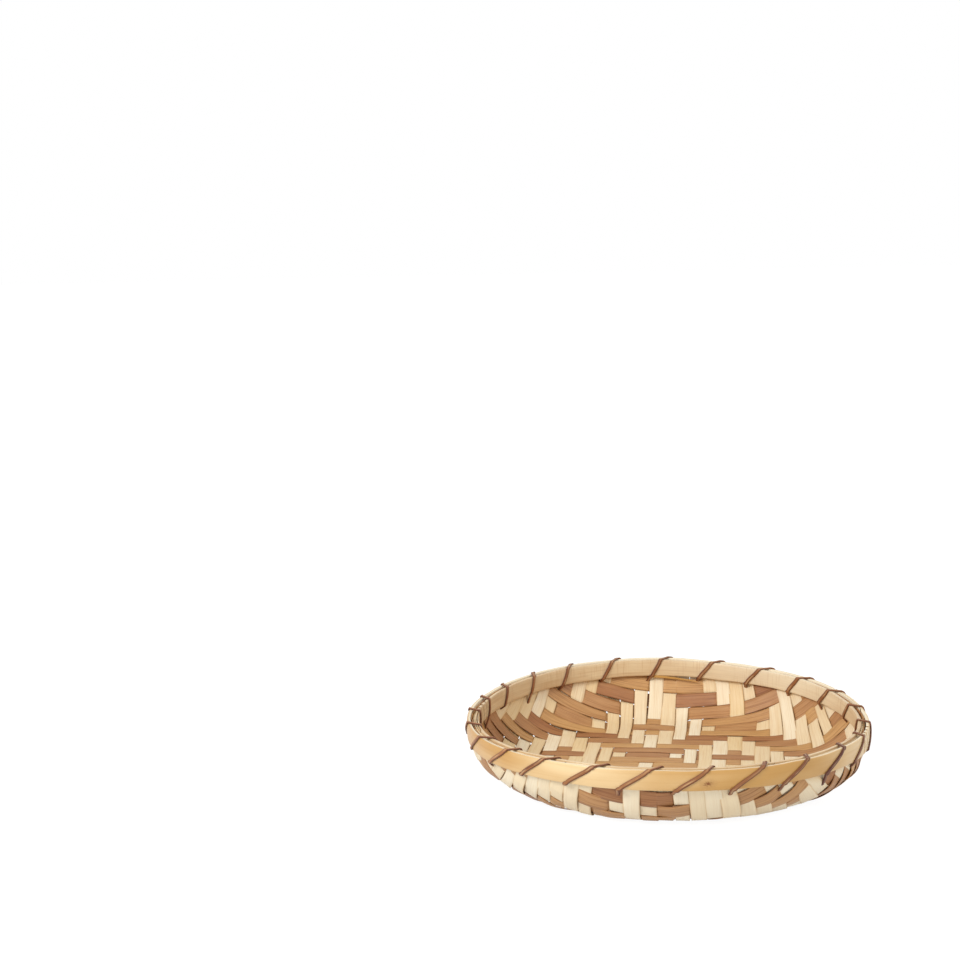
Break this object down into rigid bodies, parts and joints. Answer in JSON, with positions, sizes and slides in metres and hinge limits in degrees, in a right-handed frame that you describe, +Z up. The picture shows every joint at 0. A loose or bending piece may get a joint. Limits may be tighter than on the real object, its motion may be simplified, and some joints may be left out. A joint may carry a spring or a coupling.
{
  "type": "woven basket",
  "caption": "Shallow round woven bamboo basket: a dished diamond-twill mat of flat splints, pinched between rim hoops and bound on with slanting cane.",
  "frame": {"origin": "on the table, under the middle of the basket", "axes": "+Z up out of the bowl, -Y towards the side the picture shows in front, +X to its right"},
  "size_m": [0.303, 0.303, 0.047],
  "materials": {
    "pale_bamboo": "matt split bamboo, straw coloured, fine lengthwise grain",
    "dark_bamboo": "matt split bamboo, smoked reddish brown, fine lengthwise grain",
    "hoop_skin_bamboo": "smooth satin bamboo skin, golden yellow",
    "hoop_split_bamboo": "matt split bamboo, pale tan",
    "cane": "satin split cane, reddish brown"
  },
  "bodies": {
    "root": {"pale_splint_01": "pale_bamboo", "pale_splint_02": "pale_bamboo", "pale_splint_03": "pale_bamboo", "pale_splint_04": "pale_bamboo", "pale_splint_05": "pale_bamboo", "pale_splint_06": "pale_bamboo", "pale_splint_07": "pale_bamboo", "pale_splint_08": "pale_bamboo", "pale_splint_09": "pale_bamboo", "pale_splint_10": "pale_bamboo", "pale_splint_11": "pale_bamboo", "pale_splint_12": "pale_bamboo", "pale_splint_13": "pale_bamboo", "pale_splint_14": "pale_bamboo", "pale_splint_15": "pale_bamboo", "pale_splint_16": "pale_bamboo", "pale_splint_17": "pale_bamboo", "pale_splint_18": "pale_bamboo", "pale_splint_19": "pale_bamboo", "pale_splint_20": "pale_bamboo", "pale_splint_21": "pale_bamboo", "pale_splint_22": "pale_bamboo", "pale_splint_23": "pale_bamboo", "pale_splint_24": "pale_bamboo", "pale_splint_25": "pale_bamboo", "pale_splint_26": "pale_bamboo", "pale_splint_27": "pale_bamboo", "pale_splint_28": "pale_bamboo", "dark_splint_01": "dark_bamboo", "dark_splint_02": "dark_bamboo", "dark_splint_03": "dark_bamboo", "dark_splint_04": "dark_bamboo", "dark_splint_05": "dark_bamboo", "dark_splint_06": "dark_bamboo", "dark_splint_07": "dark_bamboo", "dark_splint_08": "dark_bamboo", "dark_splint_09": "dark_bamboo", "dark_splint_10": "dark_bamboo", "dark_splint_11": "dark_bamboo", "dark_splint_12": "dark_bamboo", "dark_splint_13": "dark_bamboo", "dark_splint_14": "dark_bamboo", "dark_splint_15": "dark_bamboo", "dark_splint_16": "dark_bamboo", "dark_splint_17": "dark_bamboo", "dark_splint_18": "dark_bamboo", "dark_splint_19": "dark_bamboo", "dark_splint_20": "dark_bamboo", "dark_splint_21": "dark_bamboo", "dark_splint_22": "dark_bamboo", "dark_splint_23": "dark_bamboo", "dark_splint_24": "dark_bamboo", "dark_splint_25": "dark_bamboo", "dark_splint_26": "dark_bamboo", "outer_hoop": "hoop_skin_bamboo", "inner_hoop": "hoop_split_bamboo", "filling_strip": "pale_bamboo", "cane_lashing": "cane"}
  },
  "joints": []
}
